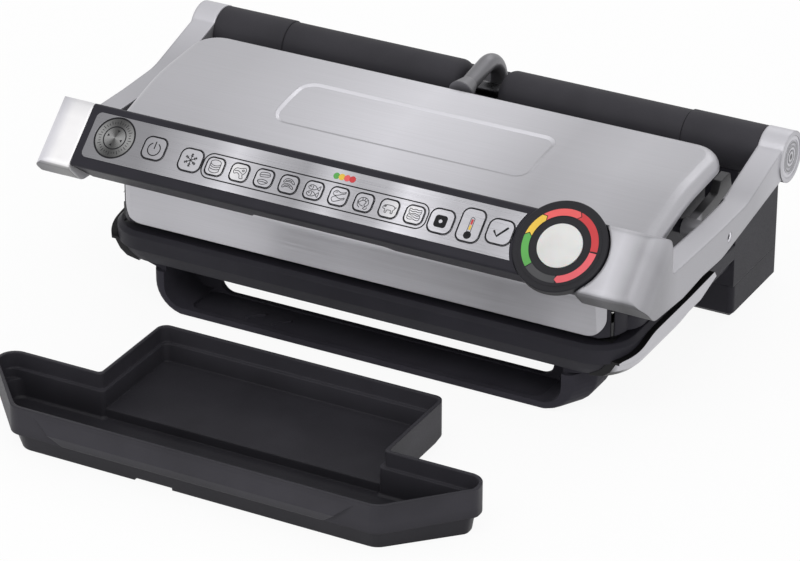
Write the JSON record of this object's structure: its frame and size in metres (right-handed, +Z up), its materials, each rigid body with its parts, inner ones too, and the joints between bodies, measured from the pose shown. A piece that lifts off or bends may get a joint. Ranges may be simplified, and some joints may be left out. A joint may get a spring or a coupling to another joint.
{
  "type": "contact grill",
  "caption": "Countertop contact grill with a floating hinged lid, full width handle with keys and a light ring, ribbed plates, a looped front foot and a pull out drip tray.",
  "frame": {"origin": "centre of the bounding box's underside at rest, on the counter, with the drip tray out in front", "axes": "+X to the user's right, +Y to the back, +Z up"},
  "size_m": [0.46, 0.471, 0.1589],
  "materials": {
    "satin_silver": "satin silver paint",
    "brushed_sheet": "brushed stainless sheet",
    "brushed_inlay": "brushed control panel inlay",
    "black_plastic": "moulded black plastic, satin",
    "tube_plastic": "black hinge covers, fine grain",
    "tray_plastic": "moulded black drip tray",
    "plate_coat": "die cast plate with dark non stick coat",
    "heater_steel": "dull heater tube",
    "reflector_metal": "bright reflector sheet",
    "shaft_steel": "turned steel shaft",
    "screw_steel": "plated screw",
    "rubber": "black rubber",
    "conduit_grey": "grey moulded cable guide",
    "key_face": "silver printed key caps",
    "emblem_metal": "spun metal disc",
    "disc_metal": "turned end disc",
    "dome_white": "translucent white light dome",
    "bezel_black": "gloss black ring bezel",
    "ring_red": "red printed segment",
    "ring_salmon": "light red printed segment",
    "ring_yellow": "yellow printed segment",
    "ring_green": "green printed segment",
    "ring_grey": "dark grey printed segment",
    "ring_rose": "rose printed segment"
  },
  "bodies": {
    "base": {"base_tub": "black_plastic", "side_trim_left": "satin_silver", "side_trim_right": "satin_silver", "foot_frame": "black_plastic", "rubber_feet": "rubber", "rear_housing": "black_plastic", "rear_base": "black_plastic", "hinge_shaft": "shaft_steel", "tube_cover_left": "tube_plastic", "tube_cover_right": "tube_plastic", "hinge_sleeve_left": "tube_plastic", "hinge_sleeve_right": "tube_plastic", "lower_plate": "plate_coat", "lower_heater": "heater_steel", "lower_reflector": "reflector_metal", "cord_gland": "rubber"},
    "handle_frame": {"handle_arm_left": "satin_silver", "handle_arm_right": "satin_silver", "hinge_discs": "disc_metal", "arm_pivot_screws": "screw_steel", "panel_housing": "black_plastic", "panel_inlay": "brushed_inlay", "sensor_emblem": "emblem_metal", "ring_bezel": "bezel_black", "ring_segment_red": "ring_red", "ring_segment_salmon": "ring_salmon", "ring_segment_yellow": "ring_yellow", "ring_segment_green": "ring_green", "ring_segment_grey": "ring_grey", "ring_segment_rose": "ring_rose", "indicator_dome": "dome_white"},
    "lid": {"lid_housing": "black_plastic", "lid_sheet": "brushed_sheet", "upper_plate": "plate_coat", "upper_heater": "heater_steel", "upper_reflector": "reflector_metal", "lid_levers": "conduit_grey", "cable_conduit": "conduit_grey"},
    "drip_tray": {"drip_tray": "tray_plastic"},
    "power_key_cap": {"power_key": "key_face"},
    "defrost_key_cap": {"defrost_key": "key_face"},
    "program_key_1_cap": {"program_key_1": "key_face"},
    "program_key_2_cap": {"program_key_2": "key_face"},
    "program_key_3_cap": {"program_key_3": "key_face"},
    "program_key_4_cap": {"program_key_4": "key_face"},
    "program_key_5_cap": {"program_key_5": "key_face"},
    "program_key_6_cap": {"program_key_6": "key_face"},
    "program_key_7_cap": {"program_key_7": "key_face"},
    "program_key_8_cap": {"program_key_8": "key_face"},
    "program_key_9_cap": {"program_key_9": "key_face"},
    "manual_key_cap": {"manual_key": "key_face"},
    "temperature_key_cap": {"temperature_key": "key_face"},
    "confirm_key_cap": {"confirm_key": "key_face"}
  },
  "joints": [
    {"name": "lid_hinge", "type": "hinge", "parent": "base", "child": "handle_frame", "pos_m": [0, 0.1685, 0.1275], "axis": [-1, 0, 0], "range_deg": [0, 95]},
    {"name": "lid_float", "type": "hinge", "parent": "handle_frame", "child": "lid", "pos_m": [0, 0.0715, 0.11], "axis": [-1, 0, 0], "range_deg": [-1.5, 1.5]},
    {"name": "drip_tray_slide", "type": "slide", "parent": "base", "child": "drip_tray", "axis": [0, 1, 0], "range_m": [0, 0.14]},
    {"name": "power_key_press", "type": "slide", "parent": "handle_frame", "child": "power_key_cap", "axis": [0, 0.6673, -0.7448], "range_m": [0, 0.0005], "stiffness_N_per_m": 400, "springref_m": -0.0005},
    {"name": "defrost_key_press", "type": "slide", "parent": "handle_frame", "child": "defrost_key_cap", "axis": [0, 0.6673, -0.7448], "range_m": [0, 0.0005], "stiffness_N_per_m": 400, "springref_m": -0.0005},
    {"name": "program_key_1_press", "type": "slide", "parent": "handle_frame", "child": "program_key_1_cap", "axis": [0, 0.6673, -0.7448], "range_m": [0, 0.0005], "stiffness_N_per_m": 400, "springref_m": -0.0005},
    {"name": "program_key_2_press", "type": "slide", "parent": "handle_frame", "child": "program_key_2_cap", "axis": [0, 0.6673, -0.7448], "range_m": [0, 0.0005], "stiffness_N_per_m": 400, "springref_m": -0.0005},
    {"name": "program_key_3_press", "type": "slide", "parent": "handle_frame", "child": "program_key_3_cap", "axis": [0, 0.6673, -0.7448], "range_m": [0, 0.0005], "stiffness_N_per_m": 400, "springref_m": -0.0005},
    {"name": "program_key_4_press", "type": "slide", "parent": "handle_frame", "child": "program_key_4_cap", "axis": [0, 0.6673, -0.7448], "range_m": [0, 0.0005], "stiffness_N_per_m": 400, "springref_m": -0.0005},
    {"name": "program_key_5_press", "type": "slide", "parent": "handle_frame", "child": "program_key_5_cap", "axis": [0, 0.6673, -0.7448], "range_m": [0, 0.0005], "stiffness_N_per_m": 400, "springref_m": -0.0005},
    {"name": "program_key_6_press", "type": "slide", "parent": "handle_frame", "child": "program_key_6_cap", "axis": [0, 0.6673, -0.7448], "range_m": [0, 0.0005], "stiffness_N_per_m": 400, "springref_m": -0.0005},
    {"name": "program_key_7_press", "type": "slide", "parent": "handle_frame", "child": "program_key_7_cap", "axis": [0, 0.6673, -0.7448], "range_m": [0, 0.0005], "stiffness_N_per_m": 400, "springref_m": -0.0005},
    {"name": "program_key_8_press", "type": "slide", "parent": "handle_frame", "child": "program_key_8_cap", "axis": [0, 0.6673, -0.7448], "range_m": [0, 0.0005], "stiffness_N_per_m": 400, "springref_m": -0.0005},
    {"name": "program_key_9_press", "type": "slide", "parent": "handle_frame", "child": "program_key_9_cap", "axis": [0, 0.6673, -0.7448], "range_m": [0, 0.0005], "stiffness_N_per_m": 400, "springref_m": -0.0005},
    {"name": "manual_key_press", "type": "slide", "parent": "handle_frame", "child": "manual_key_cap", "axis": [0, 0.6673, -0.7448], "range_m": [0, 0.0005], "stiffness_N_per_m": 400, "springref_m": -0.0005},
    {"name": "temperature_key_press", "type": "slide", "parent": "handle_frame", "child": "temperature_key_cap", "axis": [0, 0.6673, -0.7448], "range_m": [0, 0.0005], "stiffness_N_per_m": 400, "springref_m": -0.0005},
    {"name": "confirm_key_press", "type": "slide", "parent": "handle_frame", "child": "confirm_key_cap", "axis": [0, 0.6673, -0.7448], "range_m": [0, 0.0005], "stiffness_N_per_m": 400, "springref_m": -0.0005}
  ]
}
